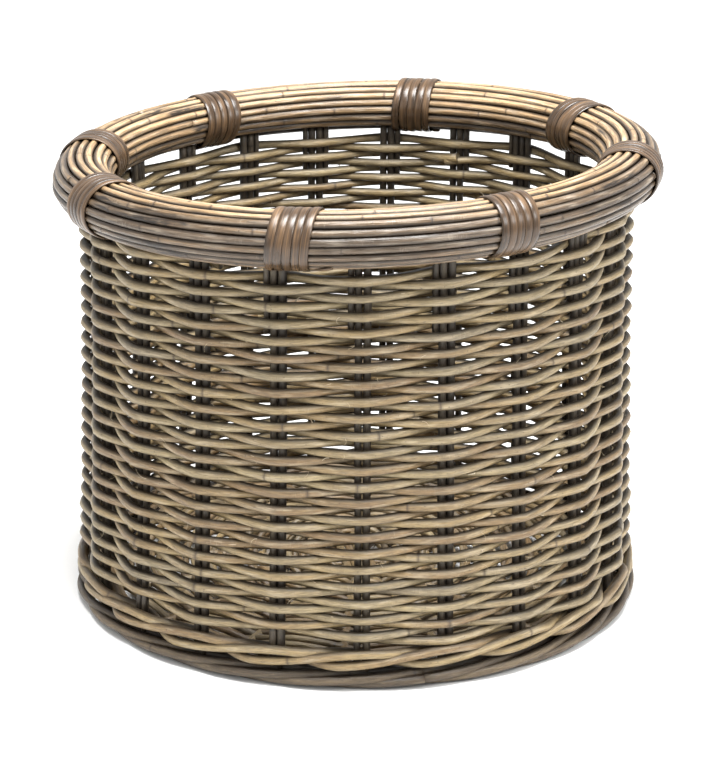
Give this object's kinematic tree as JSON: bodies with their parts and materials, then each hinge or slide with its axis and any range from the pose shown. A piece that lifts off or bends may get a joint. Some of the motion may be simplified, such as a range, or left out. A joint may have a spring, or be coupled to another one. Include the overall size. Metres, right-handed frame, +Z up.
{
  "type": "log basket",
  "caption": "Round wicker basket woven from rattan rods round upright stakes, with a thick rod-wrapped rim lashed with split cane; it stands on the floor and holds logs.",
  "frame": {"origin": "on the floor, under the centre of the basket", "axes": "+Z up through the open top, -Y towards the front, +X to the right as seen from the front"},
  "size_m": [0.5215, 0.5204, 0.4122],
  "materials": {
    "stake": "weathered rattan core, matt",
    "siding": "weathered grey-brown rattan, matt",
    "waling": "weathered grey-brown rattan, matt",
    "rim_core": "rattan, matt",
    "rim_rod": "rattan with its skin on, satin",
    "lashing": "split cane with its skin on, satin",
    "foot": "weathered rattan, matt",
    "base_stick": "rattan, matt",
    "base_weave": "weathered rattan, matt"
  },
  "bodies": {
    "root": {"stake_01": "stake", "stake_02": "stake", "stake_03": "stake", "stake_04": "stake", "stake_05": "stake", "stake_06": "stake", "stake_07": "stake", "stake_08": "stake", "stake_09": "stake", "stake_10": "stake", "stake_11": "stake", "stake_12": "stake", "stake_13": "stake", "stake_14": "stake", "stake_15": "stake", "stake_16": "stake", "stake_17": "stake", "stake_18": "stake", "stake_19": "stake", "stake_20": "stake", "stake_21": "stake", "siding_rod_01": "siding", "siding_rod_02": "siding", "siding_rod_03": "siding", "siding_rod_04": "siding", "siding_rod_05": "siding", "siding_rod_06": "siding", "siding_rod_07": "siding", "siding_rod_08": "siding", "siding_rod_09": "siding", "siding_rod_10": "siding", "siding_rod_11": "siding", "wale_rod_01": "waling", "wale_rod_02": "waling", "wale_rod_03": "waling", "rim_core_hoop": "rim_core", "rim_rod_01": "rim_rod", "rim_rod_02": "rim_rod", "rim_rod_03": "rim_rod", "rim_rod_04": "rim_rod", "rim_rod_05": "rim_rod", "rim_rod_06": "rim_rod", "rim_rod_07": "rim_rod", "rim_rod_08": "rim_rod", "rim_rod_09": "rim_rod", "rim_rod_10": "rim_rod", "rim_rod_11": "rim_rod", "rim_rod_12": "rim_rod", "rim_rod_13": "rim_rod", "rim_lashing_01": "lashing", "rim_lashing_02": "lashing", "rim_lashing_03": "lashing", "rim_lashing_04": "lashing", "rim_lashing_05": "lashing", "rim_lashing_06": "lashing", "rim_lashing_07": "lashing", "rim_lashing_08": "lashing", "foot_border": "foot", "base_sticks": "base_stick", "base_weave": "base_weave"}
  },
  "joints": []
}
